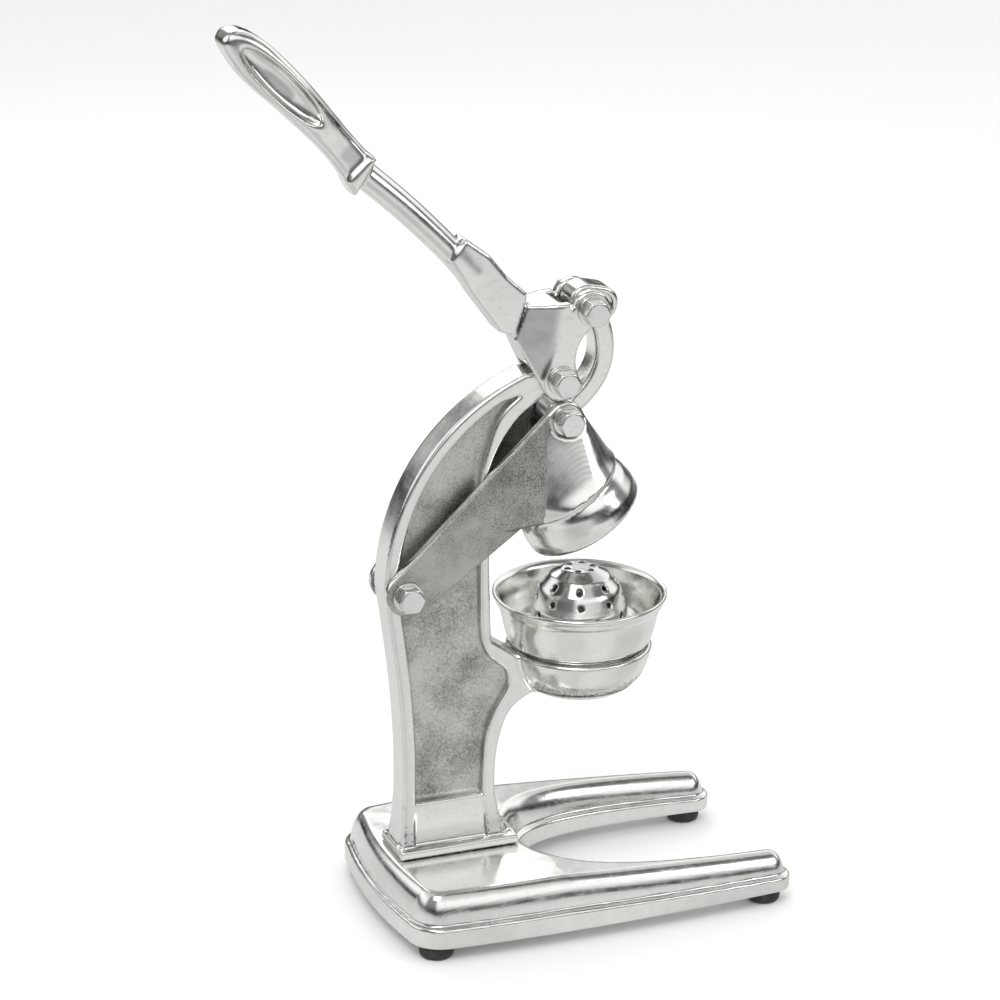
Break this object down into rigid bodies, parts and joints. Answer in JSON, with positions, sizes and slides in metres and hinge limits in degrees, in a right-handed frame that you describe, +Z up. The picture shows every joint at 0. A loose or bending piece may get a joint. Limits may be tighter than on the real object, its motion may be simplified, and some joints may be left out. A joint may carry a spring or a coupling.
{
  "type": "hand lever citrus press",
  "caption": "Hand-lever citrus press with a horseshoe base, a curved frame, a linked press arm with a bell, and a lift-out juice cup and strainer.",
  "frame": {"origin": "middle of the underside, on the table", "axes": "+Z up, +X from the column towards the open front of the base, +Y to the left of someone looking along +X"},
  "size_m": [0.318, 0.1498, 0.524],
  "materials": {
    "polished_aluminium": "mirror polished",
    "cast_aluminium": "sand cast with polished edges",
    "plated_steel": "bright plated",
    "stainless_steel": "bright pressed sheet",
    "black_rubber": "matt"
  },
  "bodies": {
    "frame": {"base_casting": "polished_aluminium", "frame_casting": "cast_aluminium", "foot_rear_right": "black_rubber", "foot_rear_left": "black_rubber", "foot_front_right": "black_rubber", "foot_front_left": "black_rubber", "foot_screw_rear_right": "plated_steel", "foot_screw_rear_left": "plated_steel", "foot_screw_front_right": "plated_steel", "foot_screw_front_left": "plated_steel", "column_washer_rear": "plated_steel", "column_washer_front": "plated_steel", "column_bolt_rear": "plated_steel", "column_bolt_front": "plated_steel", "bolt_arm_pivot": "plated_steel", "nut_arm_pivot": "plated_steel", "washer_right_arm_pivot": "plated_steel", "washer_left_arm_pivot": "plated_steel", "bolt_lever_pivot": "plated_steel", "nut_lever_pivot": "plated_steel", "washer_right_lever_pivot": "plated_steel", "washer_left_lever_pivot": "plated_steel"},
    "press_arm": {"press_arm": "cast_aluminium", "bolt_link_low": "plated_steel", "nut_link_low": "plated_steel", "washer_right_link_low": "plated_steel", "washer_left_link_low": "plated_steel"},
    "drive_link": {"drive_link": "polished_aluminium"},
    "lever": {"lever": "polished_aluminium", "bolt_link_top": "plated_steel", "nut_link_top": "plated_steel", "washer_right_link_top": "plated_steel", "washer_left_link_top": "plated_steel"},
    "juice_cup": {"juice_cup": "polished_aluminium"},
    "strainer": {"strainer": "stainless_steel"}
  },
  "joints": [
    {"name": "lever_swing", "type": "hinge", "parent": "frame", "child": "lever", "pos_m": [0.03, 0, 0.316], "axis": [0, 1, 0], "range_deg": [0, 96]},
    {"name": "arm_swing", "type": "hinge", "parent": "frame", "child": "press_arm", "pos_m": [-0.061, 0, 0.2005], "axis": [0, 1, 0], "range_deg": [0, 32.2]},
    {"name": "link_swing", "type": "hinge", "parent": "press_arm", "child": "drive_link", "pos_m": [0.033, 0, 0.293], "axis": [0, 1, 0], "range_deg": [-45.7, 0]},
    {"name": "cup_turn", "type": "hinge", "parent": "frame", "child": "juice_cup", "pos_m": [0.049, 0, 0.154], "axis": [0, 0, 1], "continuous": true},
    {"name": "strainer_turn", "type": "hinge", "parent": "juice_cup", "child": "strainer", "pos_m": [0.049, 0, 0.157], "axis": [0, 0, 1], "continuous": true}
  ],
  "couplings": [
    {"joint": "arm_swing", "follows": "lever_swing", "ratio": 0.3354},
    {"joint": "link_swing", "follows": "lever_swing", "ratio": -0.4752}
  ]
}
